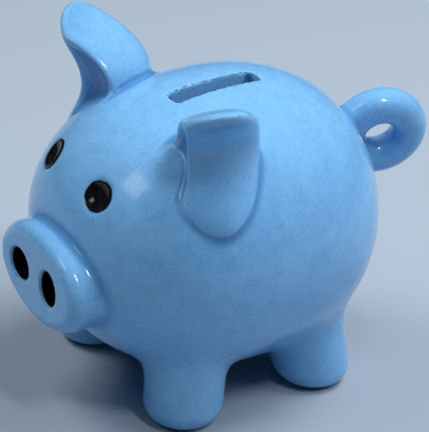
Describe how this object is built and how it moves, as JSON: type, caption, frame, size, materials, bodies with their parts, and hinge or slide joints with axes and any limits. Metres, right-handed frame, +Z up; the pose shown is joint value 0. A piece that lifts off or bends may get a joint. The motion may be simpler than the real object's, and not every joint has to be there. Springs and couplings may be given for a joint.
{
  "type": "piggy bank",
  "caption": "Small hollow ceramic pig with a coin slot in its back, stump legs, upright cupped ears, a ring tail and a soft belly stopper.",
  "frame": {"origin": "on the ground under the middle of the whole pig's box", "axes": "+Z up, the snout looks along -Y, +X is the pig's left side"},
  "size_m": [0.0978, 0.1358, 0.1086],
  "materials": {
    "blue_glaze": "glossy light blue glaze",
    "black_glaze": "gloss black glaze",
    "stopper_rubber": "soft off-white stopper, satin"
  },
  "bodies": {
    "pig": {"body_shell": "blue_glaze", "ear_left": "blue_glaze", "ear_right": "blue_glaze", "eye_left": "black_glaze", "eye_right": "black_glaze", "leg_front_left": "blue_glaze", "leg_front_right": "blue_glaze", "leg_rear_left": "blue_glaze", "leg_rear_right": "blue_glaze", "nostril_left": "black_glaze", "nostril_right": "black_glaze", "snout": "blue_glaze", "tail_loop": "blue_glaze"},
    "plug": {"stopper": "stopper_rubber"}
  },
  "joints": [
    {"name": "stopper_pull", "type": "slide", "parent": "pig", "child": "plug", "axis": [0, 0, -1], "range_m": [0, 0.03]}
  ]
}
